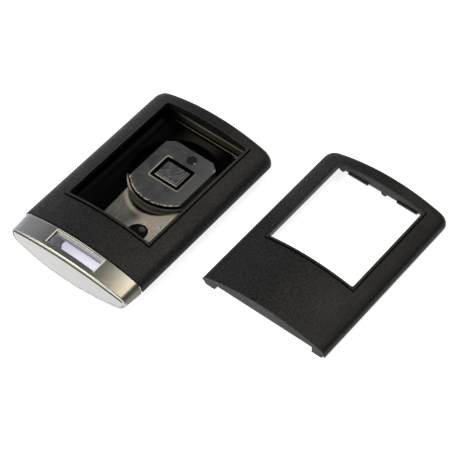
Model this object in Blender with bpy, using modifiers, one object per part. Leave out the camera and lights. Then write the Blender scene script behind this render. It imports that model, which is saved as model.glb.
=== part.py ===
"""Remote key case: a moulded case with its window and inner tray open to view, a satin metal head
with a slot for the key ring at one end, and its rear cover lying beside it, outer face up.

Metres, +Z up. The origin is on the table, on the centre line of the flat foot under the tray and
just in front of the spring's plate. The case's length runs along Y, with the metal head at the
low end, and its width along X.
"""
import collections
import math

import bmesh
import bpy

# Clearances
GAP = 0.0003
OVERRUN = 0.002

# Outline of the front half and the head: a lens with round edges, fuller above than below
CASE_WIDTH = 0.0435
FRONT_RISE = 0.0058
REAR_DEPTH = 0.0044
EDGE_RADIUS = 0.0031
FOOT_SHAVE = 0.0002
OUTLINE_X = 0.0005
INNER_RISE = 0.0007
SHELL_LENGTH = 0.0603
FAR_BOW = 0.0001
FAR_CORNER_RADIUS = 0.0032
FAR_EDGE_RADIUS = 0.0013
SKIN = 0.0013
REBATE_SKIN = 0.0006
REBATE_HEIGHT = 0.0023

# Front window and its lip
FRONT_SIDE_BORDER = 0.00695
FRONT_FAR_BORDER = 0.0045
FRONT_WINDOW_START = 0.0118
LIP_WIDTH = 0.0007
LIP_HEIGHT = 0.0004
LIP_DEPTH = 0.0005
WINDOW_CORNER = 0.0006
COLLAR_WALL = 0.0010
COLLAR_HEIGHT = 0.0022
BULKHEAD = 0.0013

# Metal head of the key, with the slot for the ring
HEAD_LENGTH = 0.0066
HEAD_BOW = 0.0012
HEAD_LEAN = 0.0011
HEAD_INSET = 0.0003
HEAD_TAPER = 0.00045
HEAD_EDGE = 0.0004
HEAD_WALL = 0.0007
RING_SLOT_X = 0.0007
RING_SLOT_WIDTH = 0.0171
RING_SLOT_LENGTH = 0.00435
RING_SLOT_START = 0.00085
RING_SLOT_STEP = 0.00035
RING_SLOT_CORNER = 0.0003
END_RECESS_DEPTH = 0.0006
END_PLATE_EDGE = 0.0003
END_BORDER = 0.0004

# Throat under the slot's far wall, the cheeks beside it, and the ribs at that wall's lower edge
THROAT_STEP = 0.0001
THROAT_TOP = 0.0021
CHEEK_WALL = 0.0012
CHEEK_TOP = 0.0012
CHEEK_DEPTH = 0.0030
CHEEK_LENGTH = 0.0033
RIB_COUNT = 5
RIB_WIDTH = 0.0005
RIB_DEPTH = 0.0009
RIB_DROP = 0.0007
RIB_START = 0.0010
RIB_SPAN = 0.0074

# Tongue of the head's core: two prongs, beside the throat, that slide into the case
PRONG_WIDTH = 0.0037
TONGUE_THICKNESS = 0.0018
TONGUE_LENGTH = 0.0085
NOTCH_DEPTH = 0.0005
NOTCH_HALF_LENGTH = 0.0008

# Inner tray
TRAY_SIDE_CLEARANCE = 0.0004
TRAY_TOP = 0.0019
TRAY_FLOOR = 0.0008
CAVITY_SIDE_INSET = 0.0002
CAVITY_NEAR_INSET = 0.0002
UPPER_LEDGE = 0.0003
LOWER_LEDGE = 0.0003
LOWER_LEDGE_HEIGHT = -0.0014
FOOT_HALF_WIDTH = 0.0080
FOOT_DEPTH = 0.0010

# Raised platform in the tray, in a round well with a low rim
PLATFORM_CENTRE_X = 0.0019
RIM_TO_FAR_EDGE = 0.0176
PLATFORM_GAP = 0.0003
PLATFORM_SIDE_STEP = 0.0038
PLATFORM_FAR_STEP = 0.0033
PLATFORM_TOP = 0.0003
PLATFORM_CHAMFER_X = 0.0024
PLATFORM_CHAMFER_Y = 0.0019
RIM_WIDTH = 0.00045
RIM_DROP = 0.0010
ROUND_WELL_FLOOR = -0.0025
ROUND_WELL_MARGIN = 0.0016
DIMPLE_RADIUS = 0.0016
DIMPLE_DEPTH = 0.0003
DIMPLE_X = 0.0013
DIMPLE_Y = 0.0068
FINGER_NOTCH_RADIUS = 0.0032
FINGER_NOTCH_X = 0.0064
FINGER_NOTCH_Y = 0.0163
FINGER_NOTCH_DEPTH = 0.0004

# Push pad, its well, its spring and the plate that holds the spring in
PAD_OFFSET = 0.0005
PAD_WIDTH = 0.0081
PAD_LENGTH = 0.0063
PAD_THICKNESS = 0.0007
PAD_CHAMFER = 0.0004
PAD_PROUD = 0.0003
PAD_TRAVEL = 0.0005
PAD_MOAT = 0.00115
WELL_DEPTH = 0.0011
WELL_FLOOR = 0.0007
STEM_WIDTH = 0.0050
STEM_LENGTH = 0.0036
FLANGE_RIM = 0.0010
FLANGE_THICKNESS = 0.0006
CHAMBER_RIM = 0.0006
SPRING_WIDTH = 0.0030
SPRING_SHEET = 0.00025
PLATE_THICKNESS = 0.0008
PLATE_RIM = 0.0012
PLATE_CORNER = 0.0010

# Leaf spring that clicks into the tongue's notch
DETENT_LENGTH = 0.0058
DETENT_START = 0.0034
DETENT_RISE = 0.0013
DETENT_HEIGHT = 0.0013
DETENT_SHEET = 0.00025

# Rear cover: a lens of its own, flatter at its edge
COVER_SIDE_STEP = 0.0004
COVER_RISE = 0.0051
COVER_EDGE_RADIUS = 0.0021
COVER_X = 0.05205
COVER_Y = 0.0154
REAR_SIDE_BORDER = 0.00675
REAR_FAR_BORDER = 0.00475
REAR_WINDOW_START = 0.02185
REAR_LIP_WIDTH = 0.00065
REAR_LIP_HEIGHT = 0.00035
LAP_INSET = 0.00075
LAP_WALL = 0.00125
LAP_HEIGHT = 0.0011
LUG_HEIGHT = 0.0012
LUG_WIDTH = 0.0020
LUG_INSET = 0.00345
END_WALL_HEIGHT = 0.0011
HOOK_DROP = 0.0016
HOOK_WIDTH = 0.0020
LEFT_HOOK_INSET = 0.0007
MIDDLE_HOOK_INSET = 0.0156
TAB_DROP = 0.0004
TAB_WIDTH = 0.0070
LEFT_TAB_INSET = 0.0068
RIGHT_TAB_INSET = 0.0240
TAB_REACH = 0.0004

# Fineness of the curved faces
ARC_STEPS = 24
EDGE_STEPS = 4
CORNER_STEPS = 5
ROUND_STEPS = 32

# Sizes worked out from those above
HALF_WIDTH = CASE_WIDTH / 2
CASE_THICKNESS = FRONT_RISE + REAR_DEPTH
SEAM_HEIGHT = REAR_DEPTH - FOOT_SHAVE
INNER_HEIGHT = SEAM_HEIGHT + INNER_RISE
COVER_HALF_WIDTH = HALF_WIDTH - COVER_SIDE_STEP
FRONT_WINDOW_WIDTH = CASE_WIDTH - 2 * FRONT_SIDE_BORDER
FRONT_WINDOW_END = SHELL_LENGTH - FRONT_FAR_BORDER
FRONT_WINDOW_LENGTH = FRONT_WINDOW_END - FRONT_WINDOW_START
REAR_WINDOW_WIDTH = 2 * (COVER_HALF_WIDTH - REAR_SIDE_BORDER)
REAR_WINDOW_END = SHELL_LENGTH - REAR_FAR_BORDER
REAR_WINDOW_LENGTH = REAR_WINDOW_END - REAR_WINDOW_START
CAVITY_HALF_WIDTH = FRONT_WINDOW_WIDTH / 2 + CAVITY_SIDE_INSET
RIM_RADIUS = CAVITY_HALF_WIDTH - PLATFORM_CENTRE_X
RIM_CENTRE_Y = FRONT_WINDOW_END - RIM_TO_FAR_EDGE
PAD_CENTRE_Y = RIM_CENTRE_Y - PAD_OFFSET
PLATE_HALF_WIDTH = STEM_WIDTH / 2 + FLANGE_RIM + CHAMBER_RIM + PLATE_RIM
PLATE_HALF_LENGTH = STEM_LENGTH / 2 + FLANGE_RIM + CHAMBER_RIM + PLATE_RIM
ORIGIN_Y = (REAR_WINDOW_START + PAD_CENTRE_Y - PLATE_HALF_LENGTH) / 2
TRAY_START = GAP + BULKHEAD + GAP
TRAY_END = SHELL_LENGTH - SKIN - GAP
TRAY_HALF_WIDTH = HALF_WIDTH - LAP_INSET - LAP_WALL - TRAY_SIDE_CLEARANCE
CAVITY_START = FRONT_WINDOW_START + CAVITY_NEAR_INSET
LUG_CENTRE = COVER_HALF_WIDTH - LUG_INSET
NOTCH_Y = DETENT_START + DETENT_LENGTH / 2
WELL_TOP = PLATFORM_TOP - WELL_DEPTH
CHAMBER_TOP = WELL_TOP - WELL_FLOOR
FLANGE_TOP = CHAMBER_TOP - GAP
PLATE_TOP = GAP + PLATE_THICKNESS - INNER_HEIGHT
THROAT_HALF_WIDTH = RING_SLOT_WIDTH / 2 - RING_SLOT_STEP + THROAT_STEP
THROAT_LEFT = RING_SLOT_X - THROAT_HALF_WIDTH
THROAT_RIGHT = RING_SLOT_X + THROAT_HALF_WIDTH
TONGUE_HALF_WIDTH = THROAT_RIGHT + PRONG_WIDTH

case_collection = bpy.data.collections.new("remote_key_case")
cutter_collection = bpy.data.collections.new("cutters_and_guides")


def clear_scene():
    for item in list(bpy.data.objects):
        bpy.data.objects.remove(item, do_unlink=True)
    for collection in (case_collection, cutter_collection):
        bpy.context.scene.collection.children.link(collection)


def anchor(name, location):
    """An empty that carries every piece of one half."""
    empty = bpy.data.objects.new(name, None)
    empty.location = location
    case_collection.objects.link(empty)
    return empty


def finish(name, bm, carrier, is_cutter=False):
    """Turn a bmesh into an object under its carrier, as a piece or as a hidden cutter."""
    bmesh.ops.remove_doubles(bm, verts=bm.verts, dist=GAP / 1000)
    bmesh.ops.recalc_face_normals(bm, faces=bm.faces)
    mesh = bpy.data.meshes.new(name)
    bm.to_mesh(mesh)
    bm.free()
    piece = bpy.data.objects.new(name, mesh)
    piece.parent = carrier
    if is_cutter:
        cutter_collection.objects.link(piece)
        piece.hide_render = True
        piece.display_type = "WIRE"
    else:
        case_collection.objects.link(piece)
    return piece


def boolean(piece, tool, operation):
    modifier = piece.modifiers.new(tool.name, "BOOLEAN")
    modifier.object = tool
    modifier.operation = operation
    modifier.solver = "EXACT"


def cut(piece, tool):
    boolean(piece, tool, "DIFFERENCE")


def join(piece, tool):
    boolean(piece, tool, "UNION")


# The lens section

Arc = collections.namedtuple("Arc", "rise radius angle")
Lens = collections.namedtuple("Lens", "half_width edge_radius edge_centre above below")


def arc_over(edge_centre, edge_radius, rise):
    """The flat arc that joins two round edges and stands at the rise in the middle."""
    radius = (edge_centre ** 2 + rise ** 2 - edge_radius ** 2) / (2 * (rise - edge_radius))
    return Arc(rise, radius, math.asin(edge_centre / (radius - edge_radius)))


def make_lens(half_width, edge_radius, rise, depth):
    edge_centre = half_width - edge_radius
    return Lens(half_width, edge_radius, edge_centre, arc_over(edge_centre, edge_radius, rise),
                arc_over(edge_centre, edge_radius, depth))


CASE_LENS = make_lens(HALF_WIDTH, EDGE_RADIUS, FRONT_RISE, REAR_DEPTH)
COVER_LENS = make_lens(COVER_HALF_WIDTH, COVER_EDGE_RADIUS, COVER_RISE, COVER_RISE)


def lens_height(x, inset, lens, below=False):
    """The lens's height over its mid-plane at x, or its depth below, drawn in by the inset."""
    arc = lens.below if below else lens.above
    reach = (arc.radius - inset) * math.sin(arc.angle)
    if abs(x) <= reach or inset >= lens.edge_radius:
        rise = (arc.radius - inset) ** 2 - x ** 2
        return max(math.sqrt(max(rise, 0)) - (arc.radius - arc.rise), 0)
    rise = (lens.edge_radius - inset) ** 2 - (abs(x) - lens.edge_centre) ** 2
    return math.sqrt(max(rise, 0))


def lens_half_width(inset, lens):
    if inset < lens.edge_radius:
        return lens.half_width - inset
    return math.sqrt((lens.above.radius - inset) ** 2 - (lens.above.radius - lens.above.rise) ** 2)


def lens_outline(inset, lens):
    """Places across the lens from its right tip to its left tip, as (x, height, depth)."""
    width = lens_half_width(inset, lens)
    angle = lens.above.angle
    right_edge = []
    if inset < lens.edge_radius:
        edge_radius = lens.edge_radius - inset
        sweep = math.pi / 2 - angle
        for step in range(1, EDGE_STEPS):
            right_edge.append(lens.edge_centre + edge_radius * math.cos(sweep * step / EDGE_STEPS))
    else:
        angle = math.asin(width / (lens.above.radius - inset))
    across = [(lens.above.radius - inset) * math.sin(angle * (1 - 2 * step / ARC_STEPS))
              for step in range(ARC_STEPS + 1)]
    across = right_edge + across + [-x for x in reversed(right_edge)]
    rows = [(x, lens_height(x, inset, lens), lens_height(x, inset, lens, True)) for x in across]
    if inset < lens.edge_radius:
        return [(width, 0, 0)] + rows + [(-width, 0, 0)]
    rows[0] = (width, 0, 0)
    rows[-1] = (-width, 0, 0)
    return rows


def front_skin(x, inset):
    """The front's skin at x, in the frame of the inner parts."""
    return lens_height(x - OUTLINE_X, inset, CASE_LENS) - INNER_RISE


def cover_skin(x, inset):
    return lens_height(x, inset, COVER_LENS)


def leaning(x, y, z, lean):
    """A place of the head, whose end leans out towards its foot."""
    return (x, y + lean * min(y, 0) / HEAD_LENGTH * -z / CASE_THICKNESS, z)


def column_solid(name, rings, carrier, lean=0, is_cutter=False):
    """A closed loft. Each ring is a row of (x, y, top, bottom) across the piece."""
    bm = bmesh.new()
    tops = [[bm.verts.new(leaning(x, y, top, lean)) for x, y, top, bottom in ring] for ring in rings]
    bottoms = [[bm.verts.new(leaning(x, y, bottom, lean)) for x, y, top, bottom in ring]
               for ring in rings]
    for near, far in zip(range(len(rings) - 1), range(1, len(rings))):
        for side in (tops, bottoms):
            for first, second in zip(range(len(rings[near]) - 1), range(1, len(rings[near]))):
                bm.faces.new((side[near][first], side[near][second], side[far][second], side[far][first]))
        for end in (0, -1):
            bm.faces.new((tops[near][end], tops[far][end], bottoms[far][end], bottoms[near][end]))
    for ring in (0, -1):
        for first, second in zip(range(len(rings[ring]) - 1), range(1, len(rings[ring]))):
            bm.faces.new((tops[ring][first], tops[ring][second], bottoms[ring][second], bottoms[ring][first]))
    bmesh.ops.remove_doubles(bm, verts=bm.verts, dist=GAP / 1000)
    bmesh.ops.dissolve_degenerate(bm, edges=bm.edges, dist=GAP / 1000)
    return finish(name, bm, carrier, is_cutter)


def end_stations(start, end, start_radii, end_radii):
    """Places along the lens as (y, side inset, height inset), rounding over at each end."""
    def drawn_in(distance, radius):
        if distance >= radius:
            return 0
        return radius - math.sqrt(radius ** 2 - (radius - distance) ** 2)

    distances = []
    for end_index, radii in enumerate((start_radii, end_radii)):
        row = {0}
        for radius in radii:
            for step in range(CORNER_STEPS):
                row.add(radius * (1 - math.sin(math.pi / 2 * step / CORNER_STEPS)))
        distances.append(sorted(row))
    near = [(start + d, drawn_in(d, start_radii[0]), drawn_in(d, start_radii[1])) for d in distances[0]]
    far = [(end - d, drawn_in(d, end_radii[0]), drawn_in(d, end_radii[1])) for d in reversed(distances[1])]
    return near + far


def lens_solid(name, lens, start, end, carrier, inset=0, start_bow=0, end_bow=0,
               start_radii=(0, 0), end_radii=(0, 0), start_taper=0, lean=0, top=None, bottom=None,
               side=None, is_cutter=False):
    """A length of the lens, drawn in by the inset, and trimmed at top, bottom or side."""
    outline = lens_outline(inset, lens)
    width = lens_half_width(inset, lens)
    if side is not None:
        edge = (lens_height(side, inset, lens), lens_height(side, inset, lens, True))
        outline = [(side, *edge)] + [row for row in outline if abs(row[0]) < side] + [(-side, *edge)]
        width = side
    rise = lens_height(0, inset, lens)
    depth = lens_height(0, inset, lens, True)
    length = end - start
    rings = []
    for y, side_inset, height_inset in end_stations(start, end, start_radii, end_radii):
        share = (y - start) / length
        taper = start_taper * (1 - share)
        across_share = (width - side_inset - taper) / width
        rise_share = (rise - height_inset - taper) / rise
        depth_share = (depth - height_inset - taper) / depth
        ring = []
        for x, height, fall in outline:
            bow_share = 1 - (x / width) ** 2
            ring_y = y + bow_share * (end_bow * share + start_bow * (1 - share))
            ring_x = x * across_share
            upper = height * rise_share
            lower = -fall * depth_share
            if top is not None:
                upper = min(upper, top)
            if bottom is not None:
                lower = max(lower, bottom)
            ring.append((ring_x, ring_y, upper, lower))
        rings.append(ring)
    return column_solid(name, rings, carrier, lean, is_cutter)


def arched_block(name, left, right, start, end, height_at, floor_at, carrier, is_cutter=False):
    """A block whose top and bottom follow two functions of x."""
    places = [left + (right - left) * step / ARC_STEPS for step in range(ARC_STEPS + 1)]
    rings = [[(x, y, height_at(x), floor_at(x)) for x in places] for y in (start, end)]
    return column_solid(name, rings, carrier, is_cutter=is_cutter)


# Plain blocks, prisms and rounds

def block(name, low, high, carrier, corner=0, chamfer=0, is_cutter=False):
    """A box between two corners, with its upright edges rounded or its top edges bevelled."""
    bm = bmesh.new()
    bmesh.ops.create_cube(bm, size=1)
    for vert in bm.verts:
        for axis in range(3):
            vert.co[axis] = low[axis] + (vert.co[axis] + 0.5) * (high[axis] - low[axis])
    if corner:
        upright = [e for e in bm.edges if abs(e.verts[0].co.z - e.verts[1].co.z) > GAP / 10]
        bmesh.ops.bevel(bm, geom=upright, offset=corner, offset_type="OFFSET", segments=4,
                        profile=0.5, affect="EDGES", material=-1)
    if chamfer:
        rim = [e for e in bm.edges if min(v.co.z for v in e.verts) > high[2] - GAP / 10]
        bmesh.ops.bevel(bm, geom=rim, offset=chamfer, offset_type="OFFSET", segments=1,
                        profile=0.5, affect="EDGES", material=-1)
    return finish(name, bm, carrier, is_cutter)


def prism(name, outline, low, high, carrier, is_cutter=False):
    """A flat outline in X and Y, drawn up from the low height to the high one."""
    bm = bmesh.new()
    face = bm.faces.new([bm.verts.new((x, y, low)) for x, y in outline])
    drawn = bmesh.ops.extrude_face_region(bm, geom=[face])["geom"]
    moved = [item for item in drawn if isinstance(item, bmesh.types.BMVert)]
    bmesh.ops.translate(bm, verts=moved, vec=(0, 0, high - low))
    return finish(name, bm, carrier, is_cutter)


def round_post(name, radius, centre, low, high, carrier, is_cutter=False):
    bm = bmesh.new()
    bmesh.ops.create_cone(bm, cap_ends=True, segments=ROUND_STEPS, radius1=radius, radius2=radius,
                          depth=high - low)
    bmesh.ops.translate(bm, verts=bm.verts, vec=(centre[0], centre[1], (low + high) / 2))
    return finish(name, bm, carrier, is_cutter)


def bent_strip(name, path, width_axis, half_width, sheet, carrier):
    """A strip of spring steel: an open ribbon along the path, thickened by Solidify."""
    bm = bmesh.new()
    rows = []
    for point in path:
        low = list(point)
        high = list(point)
        low[width_axis] -= half_width
        high[width_axis] += half_width
        rows.append((bm.verts.new(low), bm.verts.new(high)))
    for first, second in zip(rows[:-1], rows[1:]):
        bm.faces.new((first[0], first[1], second[1], second[0]))
    strip = finish(name, bm, carrier)
    thickness = strip.modifiers.new("sheet", "SOLIDIFY")
    thickness.thickness = sheet
    thickness.offset = 0
    return strip


def material(name, colour, roughness, metallic=0.0):
    finish_material = bpy.data.materials.new(name)
    finish_material.use_nodes = True
    shader = finish_material.node_tree.nodes["Principled BSDF"]
    shader.inputs["Base Color"].default_value = (*colour, 1.0)
    shader.inputs["Roughness"].default_value = roughness
    shader.inputs["Metallic"].default_value = metallic
    finish_material.diffuse_color = (*colour, 1.0)
    return finish_material


def window_lip(name, skin, width, length, start, lip_width, lip_height, carrier):
    """The raised band round a window, which follows the arch of the skin."""
    half = width / 2 + lip_width
    return arched_block(name, -half, half, start - lip_width, start + length + lip_width,
                        lambda x: skin(x, 0) + lip_height, lambda x: skin(x, 0) - LIP_DEPTH, carrier,
                        is_cutter=True)


def window_collar(name, skin, start, end, left, right, drop, carrier):
    """A wall under the skin along one edge of a window, with a level bottom edge."""
    return arched_block(name, left, right, start, end, lambda x: skin(x, SKIN / 2), lambda x: drop,
                        carrier, is_cutter=True)


def collar_half_width(drop, lens):
    """Where the skin's inner face comes down to the collar's bottom edge."""
    arc = lens.above
    return math.sqrt((arc.radius - SKIN) ** 2 - (arc.radius - arc.rise + drop + GAP / 3) ** 2)


def ring_slot(name, step, carrier):
    """The slot for the key ring, drawn in by the step on each side."""
    half = RING_SLOT_WIDTH / 2 - step
    near = -RING_SLOT_START - RING_SLOT_LENGTH + step
    far = -RING_SLOT_START - step
    reach = CASE_THICKNESS
    return block(name, (RING_SLOT_X - half, near, -reach), (RING_SLOT_X + half, far, reach), carrier,
                 corner=RING_SLOT_CORNER, is_cutter=True)


def throat(name, near, far, high, carrier):
    """The open way under the slot's far wall, down to the table."""
    return block(name, (THROAT_LEFT, near, -INNER_HEIGHT - OVERRUN), (THROAT_RIGHT, far, high),
                 carrier, is_cutter=True)


# The black front frame

def make_front_frame(shell, case, finish_material):
    frame = lens_solid("front_frame", CASE_LENS, GAP, SHELL_LENGTH, shell, end_bow=FAR_BOW,
                       end_radii=(FAR_CORNER_RADIUS, FAR_EDGE_RADIUS), bottom=0)
    cut(frame, lens_solid("frame_hollow", CASE_LENS, GAP + BULKHEAD, SHELL_LENGTH - SKIN, shell,
                          inset=SKIN, end_bow=FAR_BOW, end_radii=(FAR_CORNER_RADIUS - SKIN, GAP),
                          is_cutter=True))
    half = collar_half_width(COLLAR_HEIGHT + INNER_RISE, CASE_LENS)
    left = OUTLINE_X - half
    right = OUTLINE_X + half
    join(frame, window_collar("near_collar", front_skin, FRONT_WINDOW_START - COLLAR_WALL,
                              FRONT_WINDOW_START + GAP, left, right, COLLAR_HEIGHT, case))
    join(frame, window_collar("far_collar", front_skin, FRONT_WINDOW_END - GAP,
                              FRONT_WINDOW_END + COLLAR_WALL, left, right, COLLAR_HEIGHT, case))
    join(frame, window_lip("front_lip", front_skin, FRONT_WINDOW_WIDTH, FRONT_WINDOW_LENGTH,
                           FRONT_WINDOW_START, LIP_WIDTH, LIP_HEIGHT, case))
    half = FRONT_WINDOW_WIDTH / 2
    cut(frame, block("front_window", (-half, FRONT_WINDOW_START, -OVERRUN),
                     (half, FRONT_WINDOW_END, FRONT_RISE + OVERRUN), case,
                     corner=WINDOW_CORNER, is_cutter=True))
    cut(frame, lens_solid("frame_rebate", CASE_LENS, -OVERRUN, SHELL_LENGTH - REBATE_SKIN, shell,
                          inset=REBATE_SKIN, end_bow=FAR_BOW,
                          end_radii=(FAR_CORNER_RADIUS - REBATE_SKIN, GAP), top=REBATE_HEIGHT,
                          is_cutter=True))
    frame.data.materials.append(finish_material)
    return frame


# The inner tray

def platform_outline():
    """Straight sides, two cut corners at the far end, and a round near end."""
    radius = RIM_RADIUS - PLATFORM_GAP
    side = RIM_RADIUS - PLATFORM_SIDE_STEP
    far = RIM_CENTRE_Y + RIM_RADIUS - PLATFORM_FAR_STEP
    angle = math.acos(side / radius)
    outline = []
    for step in range(ARC_STEPS + 1):
        turn = angle - math.pi + (math.pi - 2 * angle) * step / ARC_STEPS
        outline.append((PLATFORM_CENTRE_X + radius * math.cos(turn),
                        RIM_CENTRE_Y + radius * math.sin(turn)))
    left = PLATFORM_CENTRE_X - side
    right = PLATFORM_CENTRE_X + side
    outline += [(right, far - PLATFORM_CHAMFER_Y), (right - PLATFORM_CHAMFER_X, far),
                (left + PLATFORM_CHAMFER_X, far), (left, far - PLATFORM_CHAMFER_Y)]
    return outline


def rim_outline(radius, right):
    """A circle about the platform, cut off straight at the right."""
    angle = math.acos(min((right - PLATFORM_CENTRE_X) / radius, 1 - GAP))
    outline = []
    for step in range(ARC_STEPS * 2 + 1):
        turn = angle + (2 * math.pi - 2 * angle) * step / (ARC_STEPS * 2)
        outline.append((PLATFORM_CENTRE_X + radius * math.cos(turn),
                        RIM_CENTRE_Y + radius * math.sin(turn)))
    return outline


def make_inner_tray(shell, case, finish_material):
    envelope = SKIN + GAP
    floor_inset = envelope + TRAY_FLOOR
    tray = lens_solid("inner_tray", CASE_LENS, TRAY_START, TRAY_END, shell, inset=envelope,
                      end_bow=FAR_BOW, end_radii=(FAR_CORNER_RADIUS - envelope, GAP),
                      top=TRAY_TOP + INNER_RISE, side=TRAY_HALF_WIDTH)
    foot_half = REAR_WINDOW_WIDTH / 2 - GAP

    def foot_bottom(x):
        if abs(x) <= FOOT_HALF_WIDTH:
            return -INNER_HEIGHT
        return -min(cover_skin(x, 0), INNER_HEIGHT)

    join(tray, arched_block("foot", -foot_half, foot_half, REAR_WINDOW_START + GAP,
                            REAR_WINDOW_END - GAP, lambda x: foot_bottom(x) + FOOT_DEPTH
                            + SKIN + GAP, foot_bottom, case, is_cutter=True))
    far_wall = FRONT_WINDOW_END - UPPER_LEDGE
    low_wall = far_wall - LOWER_LEDGE
    high = TRAY_TOP + OVERRUN
    half = CAVITY_HALF_WIDTH

    def arched_floor(x):
        return -cover_skin(x, floor_inset)

    def level_top(x):
        return high

    cut(tray, arched_block("cavity", -half, half, CAVITY_START, low_wall, level_top,
                           arched_floor, case, is_cutter=True))
    ledge_half = half - GAP / 3
    cut(tray, block("ledge_step", (-ledge_half, low_wall - GAP, LOWER_LEDGE_HEIGHT),
                    (ledge_half, far_wall, high), case, is_cutter=True))
    cut(tray, block("throat_relief", (THROAT_LEFT - CHEEK_WALL - GAP, TRAY_START - OVERRUN,
                                      -INNER_HEIGHT - OVERRUN),
                    (THROAT_RIGHT + CHEEK_WALL + GAP, CHEEK_LENGTH + GAP, TRAY_TOP + OVERRUN), case,
                    is_cutter=True))
    prong_reach = TONGUE_HALF_WIDTH + GAP
    prong_reach_up = TONGUE_THICKNESS / 2 + GAP
    for name, left, right in (("left_channel", -prong_reach, THROAT_LEFT + GAP),
                              ("right_channel", THROAT_RIGHT - GAP, prong_reach)):
        cut(tray, block(name, (left, TRAY_START - OVERRUN, -prong_reach_up),
                        (right, TONGUE_LENGTH + GAP, prong_reach_up), case, is_cutter=True))
    cut(tray, block("detent_pocket", (TONGUE_HALF_WIDTH, DETENT_START - GAP,
                                      -DETENT_HEIGHT / 2 - GAP),
                    (TONGUE_HALF_WIDTH + GAP + DETENT_RISE + DETENT_SHEET + GAP * 2,
                     DETENT_START + DETENT_LENGTH + GAP, DETENT_HEIGHT / 2 + GAP), case,
                    is_cutter=True))
    notch_floor = arched_floor(FINGER_NOTCH_X) - FINGER_NOTCH_DEPTH
    cut(tray, round_post("finger_notch", FINGER_NOTCH_RADIUS, (FINGER_NOTCH_X, FINGER_NOTCH_Y),
                         notch_floor, PLATFORM_TOP, case, is_cutter=True))
    rim_top = PLATFORM_TOP - RIM_DROP
    join(tray, prism("well_rim", rim_outline(RIM_RADIUS + RIM_WIDTH, half + GAP),
                     ROUND_WELL_FLOOR - GAP, rim_top, case, is_cutter=True))
    cut(tray, prism("round_well", rim_outline(RIM_RADIUS, half - ROUND_WELL_MARGIN),
                    ROUND_WELL_FLOOR, rim_top + OVERRUN, case, is_cutter=True))
    join(tray, prism("platform", platform_outline(), ROUND_WELL_FLOOR - GAP, PLATFORM_TOP, case,
                     is_cutter=True))
    cut(tray, round_post("dimple", DIMPLE_RADIUS,
                         (PLATFORM_CENTRE_X + DIMPLE_X, RIM_CENTRE_Y + DIMPLE_Y),
                         PLATFORM_TOP - DIMPLE_DEPTH, PLATFORM_TOP + OVERRUN, case, is_cutter=True))
    cut_pad_well(tray, case)
    tray.data.materials.append(finish_material)
    return tray


def pad_block(name, half_width, half_length, low, high, case, corner=0, chamfer=0, is_cutter=True):
    """A block centred on the push pad."""
    return block(name, (PLATFORM_CENTRE_X - half_width, PAD_CENTRE_Y - half_length, low),
                 (PLATFORM_CENTRE_X + half_width, PAD_CENTRE_Y + half_length, high), case,
                 corner=corner, chamfer=chamfer, is_cutter=is_cutter)


def cut_pad_well(tray, case):
    flange_half_width = STEM_WIDTH / 2 + FLANGE_RIM
    flange_half_length = STEM_LENGTH / 2 + FLANGE_RIM
    cut(tray, pad_block("pad_well", PAD_WIDTH / 2 + PAD_MOAT, PAD_LENGTH / 2 + PAD_MOAT, WELL_TOP,
                        PLATFORM_TOP + OVERRUN, case, corner=WINDOW_CORNER))
    cut(tray, pad_block("stem_hole", STEM_WIDTH / 2 + GAP, STEM_LENGTH / 2 + GAP,
                        CHAMBER_TOP - OVERRUN / 2, WELL_TOP + OVERRUN / 2, case))
    cut(tray, pad_block("spring_chamber", flange_half_width + CHAMBER_RIM,
                        flange_half_length + CHAMBER_RIM, -INNER_HEIGHT - OVERRUN, CHAMBER_TOP, case))
    cut(tray, pad_block("plate_recess", PLATE_HALF_WIDTH + GAP, PLATE_HALF_LENGTH + GAP,
                        -INNER_HEIGHT - OVERRUN, PLATE_TOP + GAP, case, corner=PLATE_CORNER))


# The sprung pad, its spring and the plate under it

def make_push_pad(case, finish_material):
    top = PLATFORM_TOP + PAD_PROUD
    pad = pad_block("push_pad", PAD_WIDTH / 2, PAD_LENGTH / 2, top - PAD_THICKNESS, top, case,
                    chamfer=PAD_CHAMFER, is_cutter=False)
    join(pad, pad_block("pad_stem", STEM_WIDTH / 2, STEM_LENGTH / 2, FLANGE_TOP - GAP,
                        top - PAD_THICKNESS / 2, case))
    join(pad, pad_block("pad_flange", STEM_WIDTH / 2 + FLANGE_RIM, STEM_LENGTH / 2 + FLANGE_RIM,
                        FLANGE_TOP - FLANGE_THICKNESS, FLANGE_TOP, case))
    pad.data.materials.append(finish_material)
    return pad


def make_pad_spring(case, finish_material):
    """A bowed leaf whose ends stand on the plate and whose crown is under the pad's flange."""
    half_span = STEM_WIDTH / 2 + FLANGE_RIM
    low = PLATE_TOP + GAP + SPRING_SHEET / 2
    crown = FLANGE_TOP - FLANGE_THICKNESS - PAD_TRAVEL - GAP / 2 - SPRING_SHEET / 2
    path = []
    for step in range(ARC_STEPS // 2 + 1):
        share = 2 * step / (ARC_STEPS // 2) - 1
        path.append((PLATFORM_CENTRE_X + half_span * share, PAD_CENTRE_Y,
                     low + (crown - low) * (1 - share ** 2)))
    spring = bent_strip("pad_spring", path, 1, SPRING_WIDTH / 2, SPRING_SHEET, case)
    spring.data.materials.append(finish_material)
    return spring


def make_spring_plate(case, finish_material):
    plate = pad_block("spring_plate", PLATE_HALF_WIDTH, PLATE_HALF_LENGTH,
                      PLATE_TOP - PLATE_THICKNESS, PLATE_TOP, case,
                      corner=PLATE_CORNER - GAP, is_cutter=False)
    plate.data.materials.append(finish_material)
    return plate


# The head: metal shell, end plate and moulded core

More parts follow.
